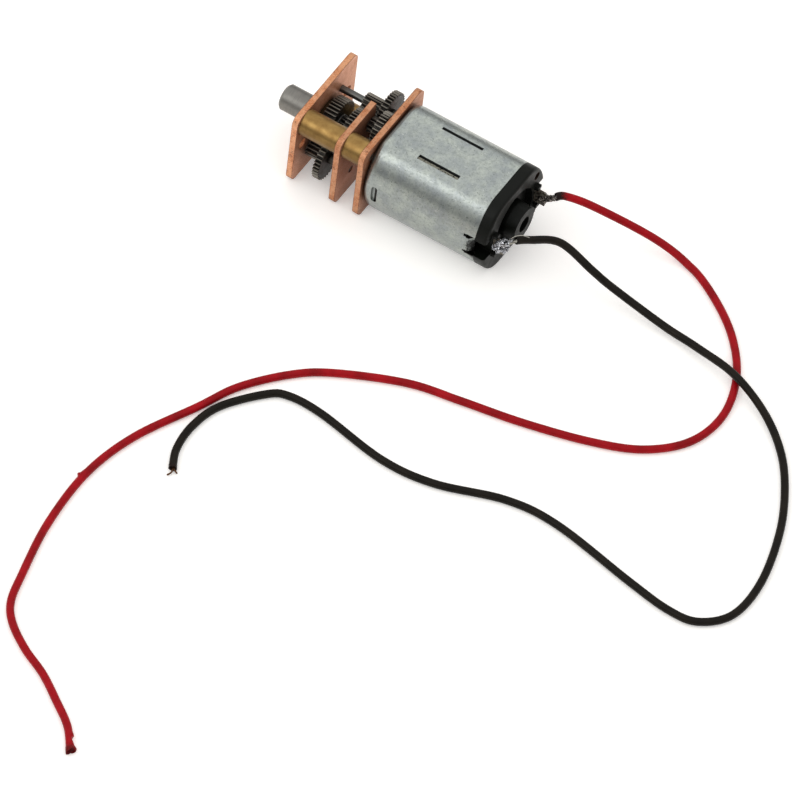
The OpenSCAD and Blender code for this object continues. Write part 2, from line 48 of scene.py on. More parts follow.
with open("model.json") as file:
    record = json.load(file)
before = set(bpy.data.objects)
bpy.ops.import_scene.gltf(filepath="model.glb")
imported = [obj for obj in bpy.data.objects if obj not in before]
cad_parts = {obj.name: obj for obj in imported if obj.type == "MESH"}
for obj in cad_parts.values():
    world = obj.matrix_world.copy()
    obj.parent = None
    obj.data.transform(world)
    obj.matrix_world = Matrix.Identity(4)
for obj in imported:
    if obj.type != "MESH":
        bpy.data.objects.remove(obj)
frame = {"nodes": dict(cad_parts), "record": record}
CAD_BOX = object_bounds()
NODES = frame["nodes"]
FLOOR_Z = CAD_BOX[0].z
LEAD_D = 0.88 * MM
LEAD_GAP = 0.01 * MM
LEAD_Z = FLOOR_Z + LEAD_D / 2 + LEAD_GAP


def mm(x, y, z=None):
    """A point given in millimetres; without z it lies at a resting lead's centre."""
    return Vector((x * MM, y * MM, LEAD_Z if z is None else z * MM))


# ---- camera ----

CAMERA_TARGET = mm(-25.88, 24.23, -5)
CAMERA_BEARING = 116.52
CAMERA_ELEVATION = 50.72
CAMERA_ROLL = 7.33
CAMERA_DISTANCE = 2333 * MM
CAMERA_LENS = 1000
CAMERA_SENSOR = 36


def add_camera():
    """Long lens from above and behind, at the bearing from which the leads lie in front."""
    data = bpy.data.cameras.new("camera")
    data.lens = CAMERA_LENS
    data.sensor_width = CAMERA_SENSOR
    data.clip_end = 4 * CAMERA_DISTANCE
    camera = bpy.data.objects.new("camera", data)
    bpy.context.scene.collection.objects.link(camera)
    turn = Matrix.Rotation(math.radians(CAMERA_BEARING + 90), 4, "Z")
    tilt = Matrix.Rotation(math.radians(90 - CAMERA_ELEVATION), 4, "X")
    roll = Matrix.Rotation(math.radians(CAMERA_ROLL), 4, "Z")
    back = Matrix.Translation((0, 0, CAMERA_DISTANCE))
    camera.matrix_world = Matrix.Translation(CAMERA_TARGET) @ turn @ tilt @ roll @ back
    bpy.context.scene.camera = camera


# ---- materials ----

# Rays that the edge and corner shaders cast
SHADER_SAMPLES = 6
# Bands of Blender's wave texture for each unit of its scale
WAVE_BANDS = 3.14


class Finish:
    """A procedural material: a Principled shader and the nodes that feed it."""

    def __init__(self, name, **sockets):
        self.material = bpy.data.materials.new(name)
        self.material.use_nodes = True
        self.tree = self.material.node_tree
        self.shader = self.tree.nodes["Principled BSDF"]
        for key, value in sockets.items():
            self.shader.inputs[key.replace("_", " ")].default_value = value
        self.place = self.node("ShaderNodeTexCoord").outputs["Object"]

    def node(self, kind, inputs=None, **settings):
        """A shader node; each input is a number, a colour or another node's socket."""
        made = self.tree.nodes.new(kind)
        for key, value in settings.items():
            setattr(made, key, value)
        for key, value in (inputs or {}).items():
            if isinstance(value, bpy.types.NodeSocket):
                self.tree.links.new(value, made.inputs[key])
            else:
                made.inputs[key].default_value = value
        return made

    def stretched(self, stretch):
        """The place on the object, scaled along each axis."""
        mapping = self.node("ShaderNodeMapping", {"Vector": self.place, "Scale": stretch})
        return mapping.outputs["Vector"]

    def noise(self, size, detail=3.0, rough=0.6, stretch=(1, 1, 1)):
        """Noise whose patches are about size across; a stretch under 1 draws them out."""
        made = self.node("ShaderNodeTexNoise", {
            "Vector": self.stretched(stretch), "Scale": 1 / size, "Detail": detail,
            "Roughness": rough})
        return made.outputs["Fac"]

    def cells(self, size):
        """Distance from the middle of round cells that are about size across."""
        made = self.node("ShaderNodeTexVoronoi", {"Vector": self.place, "Scale": 1 / size})
        return made.outputs["Distance"]

    def bands(self, place, width, warp):
        """Soft parallel bands of that width, a little bent by warp."""
        made = self.node("ShaderNodeTexWave", {
            "Vector": place, "Scale": 1 / width / WAVE_BANDS, "Distortion": warp, "Detail": 1.0})
        return made.outputs["Fac"]

    def spread(self, value, low, high, out_low=0.0, out_high=1.0):
        """Maps value from low..high to out_low..out_high, clamped."""
        made = self.node("ShaderNodeMapRange", {
            "Value": value, "From Min": low, "From Max": high,
            "To Min": out_low, "To Max": out_high})
        return made.outputs["Result"]

    def combine(self, operation, a, b):
        """The result of one operation of Blender's Math node."""
        return self.node("ShaderNodeMath", {0: a, 1: b}, operation=operation).outputs[0]

    def mix(self, factor, a, b):
        """Colour a where factor is 0, colour b where it is 1."""
        made = self.node("ShaderNodeMix", {0: factor, 6: a, 7: b}, data_type="RGBA")
        return made.outputs[2]

    def facing(self, axis):
        """How squarely the surface faces one axis of the row frame, from 0 to 1."""
        normal = self.node("ShaderNodeTexCoord").outputs["Normal"]
        parts = self.node("ShaderNodeSeparateXYZ", {0: normal})
        return self.combine("ABSOLUTE", parts.outputs[axis], 0.0)

    def worn_edges(self, radius, low, high):
        """1 along sharp edges, where a rounded normal leaves the true one."""
        bevel = self.node("ShaderNodeBevel", {"Radius": radius}, samples=SHADER_SAMPLES)
        true = self.node("ShaderNodeNewGeometry").outputs["Normal"]
        dot = self.node("ShaderNodeVectorMath", {0: bevel.outputs[0], 1: true},
                        operation="DOT_PRODUCT").outputs["Value"]
        return self.spread(self.combine("SUBTRACT", 1.0, dot), low, high)

    def shade_mask(self, reach, low, high):
        """1 in corners and gaps narrower than reach, 0 where the surface lies open; colours are
        darkened by it as painted shade, and brightened by its inverse as painted highlights.
        """
        open_sky = self.node("ShaderNodeAmbientOcclusion", {"Distance": reach},
                             samples=SHADER_SAMPLES)
        return self.spread(open_sky.outputs["AO"], low, high, 1.0, 0.0)

    def patch(self, centre, radius, ragged):
        """1 within about radius of a point, with an outline that ragged breaks up."""
        away = self.node("ShaderNodeVectorMath", {0: self.place, 1: centre},
                         operation="DISTANCE").outputs["Value"]
        push = self.spread(ragged, 0.3, 0.7, -0.35 * radius, 0.35 * radius)
        reach = self.combine("ADD", away, push)
        return self.spread(reach, 0.7 * radius, 1.15 * radius, 1.0, 0.0)

    def inside(self, low, high):
        """1 within the box between two corners, 0 outside it."""
        parts = self.node("ShaderNodeSeparateXYZ", {0: self.place})
        out = 1.0
        for axis in range(3):
            for limit, test in ((low[axis], "GREATER_THAN"), (high[axis], "LESS_THAN")):
                passed = self.combine(test, parts.outputs[axis], limit)
                out = self.combine("MULTIPLY", passed, out)
        return out

    def relief(self, height, depth, strength, edge=None):
        """Fine relief of that depth; with edge, sharp edges look rounded to that radius."""
        inputs = {"Height": height, "Distance": depth, "Strength": strength}
        if edge:
            inputs["Normal"] = self.node("ShaderNodeBevel", {"Radius": edge},
                                         samples=SHADER_SAMPLES).outputs[0]
        bump = self.node("ShaderNodeBump", inputs)
        self.set("Normal", bump.outputs[0])

    def set(self, socket, value):
        """Feeds a socket of the shader from a node."""
        self.tree.links.new(value, self.shader.inputs[socket])


def rgb(r, g, b):
    """Linear colour from sRGB numbers of 0 to 255."""
    linear = [c / 255 / 12.92 if c <= 10 else ((c / 255 + 0.055) / 1.055) ** 2.4
              for c in (r, g, b)]
    return (*linear, 1.0)


def plate_copper():
    """Rolled copper-coloured sheet: mottled faces, and sheared edges with fine tearing."""
    f = Finish("plate_copper", Metallic=0.6)
    face = f.facing(0)
    flat = f.spread(face, 0.5, 0.8)
    cloud = f.noise(1.3 * MM, 4, 0.65)
    grain = f.noise(0.16 * MM, 3, 0.7)
    tear = f.noise(0.11 * MM, 2, 0.6, stretch=(0.4, 1.3, 1.3))
    pit = f.noise(0.45 * MM, 6, 0.9)
    broad = f.mix(f.spread(cloud, 0.35, 0.68), rgb(206, 138, 100), rgb(230, 170, 136))
    broad = f.mix(f.spread(grain, 0.55, 0.75, 0, 0.6), broad, rgb(124, 66, 42))
    sheared = f.mix(f.spread(cloud, 0.42, 0.58), rgb(190, 116, 68), rgb(214, 154, 113))
    sheared = f.mix(f.spread(tear, 0.4, 0.7, 0, 0.7), sheared, rgb(238, 178, 138))
    sheared = f.mix(f.spread(pit, 0.54, 0.63, 0, 0.85), sheared, rgb(104, 50, 30))
    tone = f.mix(flat, sheared, broad)
    # The shear leaves a dark burr along both edges of the sheet
    burr = f.combine("MULTIPLY", f.worn_edges(0.13 * MM, 0.02, 0.13), 0.9)
    tone = f.mix(burr, tone, rgb(72, 33, 18))
    # Painted shade in corners and between the plates and the gears
    shade = f.combine("MULTIPLY", f.shade_mask(2.6 * MM, 0.2, 0.76), 0.72)
    tone = f.mix(shade, tone, rgb(88, 38, 12))
    # The plates next to the motor are duller than the front one
    dull = f.combine("MULTIPLY", f.inside(mm(-9.1, -7, -6), mm(-5, 7, 6)), 0.2)
    tone = f.mix(dull, tone, rgb(84, 50, 34))
    f.set("Base Color", tone)
    f.set("Roughness", f.spread(grain, 0.3, 0.75, 0.38, 0.56))
    torn = f.combine("MULTIPLY", tear, f.combine("SUBTRACT", 1.0, flat))
    height = f.combine("ADD", torn, f.combine("MULTIPLY", grain, 0.35))
    f.relief(height, 0.045 * MM, 0.8, edge=0.06 * MM)
    return f.material


def brass():
    """Turned brass: fine rings round the axis, brown tarnish, and painted shade in corners, on the
    sides of the posts and on the inner flange of the bush.
    """
    f = Finish("brass", Metallic=0.85)
    rings = f.noise(0.07 * MM, 2, 0.6, stretch=(1.0, 0.06, 0.06))
    stain = f.noise(1.1 * MM, 3, 0.6)
    tone = f.mix(f.spread(stain, 0.35, 0.7), rgb(162, 130, 76), rgb(138, 106, 58))
    tone = f.mix(f.spread(rings, 0.55, 0.75, 0, 0.2), tone, rgb(112, 86, 46))
    # Painted shade in corners and gaps
    shade = f.combine("MULTIPLY", f.shade_mask(1.6 * MM, 0.3, 0.85), 0.9)
    tone = f.mix(shade, tone, rgb(34, 24, 12))
    # Painted shade on the sides of each post, where the surface faces sideways
    film = f.spread(f.facing(2), 0.25, 0.75, 0.42, 0)
    tone = f.mix(film, tone, rgb(60, 40, 16))
    # Painted shade on the inner flange of the bush
    tone = f.mix(f.inside(mm(-1.3, -2.5, -2.5), mm(-0.69, 2.5, 2.5)), tone, rgb(44, 34, 18))
    f.set("Base Color", tone)
    f.set("Roughness", f.spread(stain, 0.3, 0.7, 0.34, 0.44))
    f.relief(rings, 0.006 * MM, 0.3, edge=0.05 * MM)
    return f.material


def bearing_bronze():
    """Sintered bronze: dull, with open pores."""
    f = Finish("bearing_bronze", Metallic=0.75)
    pores = f.cells(0.09 * MM)
    cloud = f.noise(0.6 * MM)
    tone = f.mix(cloud, rgb(130, 100, 52), rgb(164, 130, 74))
    f.set("Base Color", f.mix(f.spread(pores, 0.1, 0.35), rgb(70, 52, 28), tone))
    f.set("Roughness", f.spread(cloud, 0.3, 0.7, 0.45, 0.6))
    f.relief(pores, 0.02 * MM, 0.5, edge=0.04 * MM)
    return f.material


def gear_steel():
    """Sintered and oiled steel: nearly black, bright where the teeth have rubbed, with painted
    highlights on the open tooth lands and painted shade in the gaps.
    """
    f = Finish("gear_steel", Metallic=0.85)
    grain = f.noise(0.08 * MM, 3, 0.7)
    film = f.noise(0.7 * MM, 3, 0.6)
    tone = f.mix(film, rgb(36, 33, 29), rgb(70, 65, 57))
    tone = f.mix(f.spread(grain, 0.6, 0.8, 0, 0.6), tone, rgb(36, 33, 30))
    # Painted highlights on the open lands of the teeth; black oil and painted shade in the gaps
    # between them
    rim = f.combine("SUBTRACT", 1.0, f.spread(f.facing(0), 0.4, 0.8))
    highlit_land = f.combine("SUBTRACT", 1.0, f.shade_mask(0.16 * MM, 0.72, 0.96))
    tone = f.mix(f.combine("MULTIPLY", rim, highlit_land), tone, rgb(134, 128, 118))
    tone = f.mix(f.shade_mask(0.32 * MM, 0.48, 0.9), tone, rgb(6, 6, 5))
    # Painted shade in corners and between the gears
    shade = f.combine("MULTIPLY", f.shade_mask(2 * MM, 0.25, 0.75), 0.75)
    tone = f.mix(shade, tone, rgb(8, 8, 7))
    # The slow gears carry more oil than the one next to the motor
    oily = f.combine("MULTIPLY", f.inside(mm(-7.1, -7, -6), mm(-0.7, 7, 6)), 0.3)
    tone = f.mix(oily, tone, rgb(9, 9, 8))
    f.set("Base Color", f.mix(f.worn_edges(0.03 * MM, 0.06, 0.4), tone, rgb(150, 144, 136)))
    f.set("Roughness", f.spread(film, 0.3, 0.7, 0.28, 0.46))
    f.relief(grain, 0.012 * MM, 0.6, edge=0.02 * MM)
    return f.material


def pin_steel():
    """Ground dark pin with faint lengthwise polish."""
    f = Finish("pin_steel", Metallic=0.9)
    draw = f.noise(0.08 * MM, 2, 0.6, stretch=(0.08, 1, 1))
    f.set("Base Color", f.mix(draw, rgb(68, 69, 68), rgb(118, 119, 116)))
    f.set("Roughness", f.spread(draw, 0.3, 0.7, 0.28, 0.42))
    f.relief(draw, 0.008 * MM, 0.5, edge=0.04 * MM)
    return f.material


def shaft_steel():
    """Ground shaft steel with fine rings round the axis."""
    f = Finish("shaft_steel", Metallic=0.9)
    rings = f.noise(0.05 * MM, 2, 0.6, stretch=(1.0, 0.05, 0.05))
    cloud = f.noise(0.9 * MM, 3, 0.6)
    tone = f.mix(cloud, rgb(114, 112, 107), rgb(138, 136, 130))
    f.set("Base Color", f.mix(f.spread(rings, 0.5, 0.75, 0, 0.4), tone, rgb(96, 96, 98)))
    f.set("Roughness", f.spread(rings, 0.3, 0.7, 0.36, 0.5))
    f.relief(rings, 0.01 * MM, 0.5, edge=0.05 * MM)
    return f.material


def screw_steel():
    """Zinc-plated screw with a yellowish cast and marks from the driver."""
    f = Finish("screw_steel", Metallic=0.9)
    cloud = f.noise(0.4 * MM, 3, 0.6)
    scuff = f.noise(0.06 * MM, 2, 0.7, stretch=(1, 0.3, 1))
    f.set("Base Color", f.mix(cloud, rgb(150, 148, 140), rgb(190, 188, 180)))
    f.set("Roughness", f.spread(scuff, 0.3, 0.7, 0.24, 0.5))
    f.relief(scuff, 0.01 * MM, 0.5, edge=0.04 * MM)
    return f.material


def can_zinc():
    """Zinc-plated drawn steel: matt, faintly spangled, with specks, scuffs and soot, and painted
    shade in corners, in recesses and on the round sides.
    """
    f = Finish("can_zinc", Metallic=0.88)
    cloud = f.noise(1.6 * MM, 4, 0.6)
    spangle = f.noise(0.3 * MM, 3, 0.75)
    speck = f.noise(0.2 * MM, 2, 0.8)
    scuff = f.noise(0.3 * MM, 3, 0.8, stretch=(0.5, 1, 1))
    tone = f.mix(f.spread(cloud, 0.36, 0.66), rgb(154, 160, 160), rgb(180, 186, 178))
    tone = f.mix(f.spread(spangle, 0.45, 0.65, 0, 0.5), tone, rgb(126, 132, 128))
    tone = f.mix(f.spread(speck, 0.6, 0.7, 0, 0.8), tone, rgb(92, 96, 92))
    tone = f.mix(f.spread(scuff, 0.62, 0.7, 0, 0.7), tone, rgb(204, 208, 202))
    # Painted shade in corners and in the gap next to the plate
    shade = f.combine("MULTIPLY", f.shade_mask(0.9 * MM, 0.2, 0.55), 0.92)
    tone = f.mix(shade, tone, rgb(16, 15, 13))
    # Painted shade on the round sides, which come out darker than the flats
    drawn = f.spread(f.facing(2), 0.75, 0.95, 0.22, 0)
    tone = f.mix(drawn, tone, rgb(92, 95, 94))
    # Soot from soldering, round the near notch
    for place, reach in ((mm(-23, 5.8, 0.1), 0.95 * MM), (mm(-23.2, 5.8, -0.8), 1.05 * MM)):
        sooty = f.patch(place, reach, speck)
        tone = f.mix(f.combine("MULTIPLY", sooty, 0.97), tone, rgb(12, 11, 10))
    # Painted shade in the deep side of the near window and along both slits of the notch
    for low, high in ((mm(-11.1, 5.2, -1.2), mm(-10.55, 5.87, 1.2)),
                      (mm(-23.2, 5, 1.02), mm(-21.95, 6, 1.5)),
                      (mm(-23.2, 5, -1.6), mm(-21.9, 6, -0.95))):
        tone = f.mix(f.inside(low, high), tone, rgb(24, 23, 20))
    # Specks of dirt in the lanced lip
    lip = f.inside(mm(-18.7, 2.2, 4.5), mm(-13.3, 2.85, 4.93))
    dirt = f.mix(f.spread(speck, 0.5, 0.6), rgb(128, 126, 114), rgb(30, 28, 22))
    tone = f.mix(lip, tone, dirt)
    f.set("Base Color", tone)
    f.set("Roughness", f.spread(spangle, 0.3, 0.75, 0.27, 0.4))
    height = f.combine("ADD", f.combine("MULTIPLY", spangle, 0.7),
                       f.combine("MULTIPLY", speck, 0.3))
    f.relief(height, 0.02 * MM, 0.5, edge=0.08 * MM)
    return f.material


def ferrite():
    """Sintered ferrite magnet: charcoal, grainy."""
    f = Finish("ferrite", Metallic=0.1)
    grain = f.noise(0.07 * MM, 3, 0.7)
    f.set("Base Color", f.mix(grain, rgb(44, 44, 46), rgb(78, 78, 80)))
    f.set("Roughness", f.spread(grain, 0.3, 0.7, 0.55, 0.75))
    f.relief(grain, 0.015 * MM, 0.5, edge=0.05 * MM)
    return f.material


def core_steel():
    """Stack of thin laminations, seen as fine bands along the axis."""
    f = Finish("core_steel", Metallic=0.85)
    band = f.bands(f.place, 0.35 * MM, 0.6)
    f.set("Base Color", f.mix(band, rgb(72, 72, 76), rgb(140, 142, 146)))
    f.set("Roughness", f.spread(band, 0, 1, 0.3, 0.5))
    f.relief(band, 0.02 * MM, 0.6, edge=0.04 * MM)
    return f.material


def winding():
    """Enamelled copper wire: fine round turns, glossy."""
    f = Finish("winding", Metallic=0.7, Coat_Weight=0.4, Coat_Roughness=0.15)
    turn = f.bands(f.stretched((0, 1, 1)), 0.16 * MM, 0.4)
    f.set("Base Color", f.mix(turn, rgb(96, 34, 14), rgb(202, 98, 48)))
    f.set("Roughness", f.spread(turn, 0, 1, 0.4, 0.24))
    f.relief(turn, 0.04 * MM, 0.8, edge=0.05 * MM)
    return f.material


def nylon(name, dark, light, low, high, stains=()):
    """Moulded nylon with a fine spark-eroded skin. Stains are as in lead_skin."""
    f = Finish(name, Specular_IOR_Level=0.15)
    skin = f.noise(0.06 * MM, 2, 0.6)
    cloud = f.noise(0.9 * MM, 3, 0.6)
    tone = f.mix(cloud, dark, light)
    # Painted shade in corners and gaps
    tone = f.mix(f.shade_mask(2 * MM, 0.3, 0.8), tone, rgb(3, 3, 2))
    for place, reach, colour in stains:
        tone = f.mix(f.patch(place, reach, cloud), tone, colour)
    f.set("Base Color", tone)
    f.set("Roughness", f.spread(cloud, 0.3, 0.7, low, high))
    f.relief(skin, 0.01 * MM, 0.5, edge=0.08 * MM)
    return f.material


def commutator_copper():
    """Turned copper with a dark track where the brushes run."""
    f = Finish("commutator_copper", Metallic=0.9)
    rings = f.noise(0.05 * MM, 2, 0.6, stretch=(1, 0.06, 0.06))
    f.set("Base Color", f.mix(rings, rgb(140, 78, 50), rgb(214, 138, 96)))
    f.set("Roughness", f.spread(rings, 0.3, 0.7, 0.25, 0.4))
    f.relief(rings, 0.01 * MM, 0.6, edge=0.03 * MM)
    return f.material


def terminal_metal():
    """Stamped and plated strip, darkened by flux near the joint."""
    f = Finish("terminal_metal", Metallic=0.8)
    flux = f.noise(0.35 * MM, 4, 0.65)
    tone = f.mix(f.spread(flux, 0.4, 0.62), rgb(138, 132, 120), rgb(44, 36, 30))
    f.set("Base Color", tone)
    f.set("Roughness", f.spread(flux, 0.3, 0.7, 0.3, 0.5))
    f.relief(flux, 0.02 * MM, 0.5, edge=0.03 * MM)
    return f.material


def solder(name, bright, dull, flux_share):
    """Lumpy solder with brown flux over parts of it and painted shade in its hollows."""
    f = Finish(name, Metallic=0.95)
    flux = f.noise(0.3 * MM, 4, 0.7)
    tone = f.mix(f.spread(flux, 0.3, 0.7), bright, dull)
    tone = f.mix(f.spread(flux, 1 - flux_share, 1.08 - flux_share), tone, rgb(30, 23, 17))
    # Painted shade in the hollows of the lump
    f.set("Base Color", f.mix(f.shade_mask(0.35 * MM, 0.35, 0.8), tone, rgb(8, 7, 6)))
    f.set("Roughness", f.spread(flux, 0.3, 0.7, 0.16, 0.34))
    return f.material


def copper_strand(name, dark, light):
    """Fine wire whose colour varies between dark and light."""
    f = Finish(name, Metallic=0.85)
    tint = f.noise(0.2 * MM, 3, 0.7)
    f.set("Base Color", f.mix(tint, dark, light))
    f.set("Roughness", f.spread(tint, 0.3, 0.7, 0.25, 0.45))
    f.relief(tint, 0.01 * MM, 0.5)
    return f.material


def lead_skin(name, dark, light, low, high, stains):
    """Soft PVC: slight mottling and handling marks. Each stain is a place, a reach, a colour."""
    f = Finish(name, Specular_IOR_Level=0.12)
    cloud = f.noise(2.2 * MM, 3, 0.55)
    skin = f.noise(0.12 * MM, 3, 0.65)
    tone = f.mix(f.spread(cloud, 0.3, 0.7), dark, light)
    for place, reach, colour in stains:
        tone = f.mix(f.patch(place, reach, skin), tone, colour)
    f.set("Base Color", tone)
    f.set("Roughness", f.spread(skin, 0.3, 0.7, low, high))
    f.relief(skin, 0.012 * MM, 0.5)
    return f.material


def floor_white():
    """Matt white sweep with the faintest fibre."""
    f = Finish("floor_white", Roughness=0.9, Specular_IOR_Level=0.1,
               Emission_Color=(1.0, 0.995, 0.985, 1), Emission_Strength=0.26)
    fibre = f.noise(3 * MM, 4, 0.6)
    f.set("Base Color", f.mix(fibre, (0.92, 0.9, 0.87, 1), (0.94, 0.92, 0.89, 1)))
    return f.material


# ---- mesh helpers ----


def mesh_object(name, mesh, material):
    """A smooth-shaded object of a mesh, in the scene."""
    for polygon in mesh.polygons:
        polygon.use_smooth = True
    mesh.materials.append(material)
    made = bpy.data.objects.new(name, mesh)
    bpy.context.scene.collection.objects.link(made)
    return made


def catmull(points, steps):
    """Smooth curve through every point, with that many steps between two of them."""
    out = []
    last = len(points) - 1
    for i in range(last):
        a, b, c, d = (points[min(max(j, 0), last)] for j in range(i - 1, i + 3))
        for k in range(steps):
            t = k / steps
            out.append(0.5 * (2 * b + t * (c - a) + t * t * (2 * a - 5 * b + 4 * c - d)
                              + t ** 3 * (3 * b - a - 3 * c + d)))
    out.append(points[-1].copy())
    return out


def travelled(points):
    """Distance along the points at each of them."""
    out = [0.0]
    for a, b in zip(points, points[1:]):
        out.append(out[-1] + (b - a).length)
    return out


def frames(points):
    """Side and up directions carried along the points without twist."""
    last = len(points) - 1
    along = [(points[min(i + 1, last)] - points[max(i - 1, 0)]).normalized()
             for i in range(last + 1)]
    side = along[0].cross(Vector((0, 0, 1)))
    side = side.normalized() if side.length > 1e-6 else Vector((1, 0, 0))
    out = []
    for way in along:
        side = (side - side.dot(way) * way).normalized()
        out.append((side, way.cross(side)))
    return out


def sweep(bm, points, radius, sides):
    """Closed round tube along the points; radius is called with (index, angle)."""
    rings = []
    for i, (point, (side, up)) in enumerate(zip(points, frames(points))):
        ring = []
        for k in range(sides):
            angle = 2 * math.pi * k / sides
            offset = math.cos(angle) * side + math.sin(angle) * up
            ring.append(bm.verts.new(point + radius(i, angle) * offset))
        rings.append(ring)
    for a, b in zip(rings, rings[1:]):
        for k in range(sides):
            m = (k + 1) % sides
            bm.faces.new((a[k], a[m], b[m], b[k]))
    bm.faces.new(reversed(rings[0]))
    bm.faces.new(rings[-1])
    return rings


def finished(bm, name, material):
    """The object that a bmesh describes, its normals turned outwards."""
    bmesh.ops.recalc_face_normals(bm, faces=bm.faces)
    mesh = bpy.data.meshes.new(name)
    bm.to_mesh(mesh)
    bm.free()
    return mesh_object(name, mesh, material)


# ---- leads ----

# Both routes are those of the CAD leads, but the black one's last point lies 0.45 mm further out
RED_ROUTE = [
    mm(-26.9, -4.1, 1.4), mm(-27.7, -4.9, 1.3), mm(-30.5, -6.5, -0.1), mm(-36.7, -8.9, -3.2),
    mm(-41.2, -8.9), mm(-45.7, -6.7), mm(-50, -3.3), mm(-53.3, 1.2), mm(-54.8, 6.5),
    mm(-53.8, 11.4), mm(-50.3, 15.2), mm(-45.1, 17.6), mm(-38, 19.6), mm(-31.3, 20.9),
    mm(-25.4, 22.2), mm(-18.4, 25.6), mm(-14.8, 28.5), mm(-11.3, 33.1), mm(-9.3, 37.8),
    mm(-6, 45.3), mm(-4.6, 52.4), mm(-5, 60.4), mm(-6.5, 67.7), mm(-7.5, 71.3), mm(-9.2, 73.6),
    mm(-12.1, 75.7), mm(-15.4, 77.4), mm(-18.5, 79.6), mm(-21.2, 81.7), mm(-23.2, 84.3)]
BLACK_ROUTE = [
    mm(-26.8, 3.8, 1.9), mm(-27.9, 2.6, 1.6), mm(-30.2, 0, 0.2), mm(-34.3, -0.1, -1.6),
    mm(-36.7, -0.5, -3.1), mm(-43.4, -0.1, -4.2), mm(-47.8, 0.4, -4.1), mm(-53.2, 1.6, -3.6),
    mm(-58.1, 3.6, -4.2), mm(-62.1, 6.7), mm(-65.2, 10.8), mm(-67.9, 16.2), mm(-69.8, 23),
    mm(-69.7, 28.4), mm(-67.2, 31.4), mm(-63.8, 31.9), mm(-58.6, 31.1), mm(-48.5, 29.1),
    mm(-42.3, 29.4), mm(-34.9, 32), mm(-28.7, 32.5), mm(-20.4, 31), mm(-16.2, 31),
    mm(-14.1, 32.3), mm(-11.1, 36.5), mm(-10.2, 40.4), mm(-10.5, 43.9), mm(-11.6, 46.4)]
LEAD_SIDES = 20
# Steps between two points of a route, and how many times finer the last stretch is
LEAD_STEPS = 10
END_STEPS = 4
# Steps near a mark, within that reach of it
MARK_STEPS = 6
MARK_REACH = 1.3 * MM
# Unevenness of the sleeve: waves per metre and share of the radius
WOBBLES = ((700, 0.012), (2500, 0.0072))
# The cut end: reach of its flare, and reach, share of the radius and waves per metre of its rags
FLARE_REACH = 0.55 * MM
RAG_REACH = 0.6 * MM
RAG_SHARE = 0.12
RAG_RATE = 900
# Inset and rise of each ring of the cut end, from its rim to the bottom of its bore
BORE_RINGS = ((0.05 * MM, 0), (0.07 * MM, -0.02 * MM), (0.05 * MM, -0.6 * MM))


def fine_path(route, marks):
    """Smooth centre line of a lead on the floor, in short steps at its marks and far end."""
    path = catmull(route, LEAD_STEPS)
    path = path[:-LEAD_STEPS - 1] + catmull(path[-LEAD_STEPS - 1:], END_STEPS)
    fine = path[:1]
    for start, stop in zip(path, path[1:]):
        marked = any((stop - mark[0]).length < MARK_REACH for mark in marks)
        steps = MARK_STEPS if marked else 1
        fine += [start.lerp(stop, step / steps) for step in range(1, steps + 1)]
    for point in fine:
        point.z = max(point.z, LEAD_Z)
    return fine


def insulation(name, route, material, flare, slant, marks):
    """Round PVC sleeve along a route, cut a little ragged and hollow at its ends.

    The far end is cut on a slant that points to its longer side. Each mark is a place, a
    direction, a height and a reach: a burr if the height is positive, a nick if it is negative.
    """
    path = fine_path(route, marks)
    far = travelled(path)
    guides = frames(path)
    radius = LEAD_D / 2

    def at(i, angle):
        point = path[i]
        wobble = sum(share * noise.noise(point * rate) for rate, share in WOBBLES)
        left = far[-1] - far[i]
        swell = flare * math.exp(-((left / FLARE_REACH) ** 2))
        ragged = 0
        if left < RAG_REACH:
            ragged = RAG_SHARE * noise.noise(Vector((angle, 3, left * RAG_RATE)))
        size = radius * (1 + wobble + swell + ragged)
        outward = math.cos(angle) * guides[i][0] + math.sin(angle) * guides[i][1]
        for place, way, height, reach in marks:
            near = math.exp(-(((point - place).length / reach) ** 2))
            size += height * near * max(0.0, outward.dot(way)) ** 4
        return size

    bm = bmesh.new()
    rings = sweep(bm, path, at, LEAD_SIDES)
    along = (path[-1] - path[-2]).normalized()
    for vert in rings[-1]:
        vert.co += along * slant.dot(vert.co - path[-1])
    for ring, outward in ((rings[0], path[0] - path[1]), (rings[-1], path[-1] - path[-2])):
        hollow_end(bm, ring, outward.normalized())
    return finished(bm, name, material), path


def hollow_end(bm, ring, outward):
    """Rounds the cut end of a sleeve and sinks a bore into it."""
    end = next(face for face in ring[0].link_faces if len(face.verts) == len(ring))
    for inset, rise in BORE_RINGS:
        bmesh.ops.inset_region(bm, faces=[end], thickness=inset)
        for vert in end.verts:
            vert.co += outward * rise


# Bundles at the joints: wires, radius of one, distance from the middle one, turns, sides
WIRE_COUNT = 7
WIRE_R = 0.07 * MM
WIRE_REACH = 0.13 * MM
WIRE_TURNS = 1.2
WIRE_SIDES = 7


def helix_bundle(bm, path):
    """Fine wires along a path: one in the middle and the others twisted round it."""
    far = travelled(path)
    guides = frames(path)
    for n in range(WIRE_COUNT):
        line = []
        for point, gone, (side, up) in zip(path, far, guides):
            angle = 2 * math.pi * (n / WIRE_COUNT + WIRE_TURNS * gone / far[-1])
            away = 0 if n == 0 else WIRE_REACH
            line.append(point + away * (math.cos(angle) * side + math.sin(angle) * up))
        sweep(bm, line, lambda i, angle: WIRE_R, WIRE_SIDES)


RED_JOINT = [mm(-25.2, -4.3, 0.1), mm(-26.1, -4.2, 0.6), mm(-27.1, -4.2, 1.4)]
BLACK_JOINT = [mm(-25.4, 4.3, 0.6), mm(-26.1, 4.2, 1.3), mm(-27.0, 3.7, 1.9)]
BARE_ONE = [mm(-11.3, 45.8), mm(-11.8, 46.4), mm(-12.3, 46.6, -4.7)]
BARE_TWO = [mm(-11.3, 45.8), mm(-11.7, 46.6), mm(-11.7, 46.9, -4.7), mm(-11.5, 47.3, -4.8)]
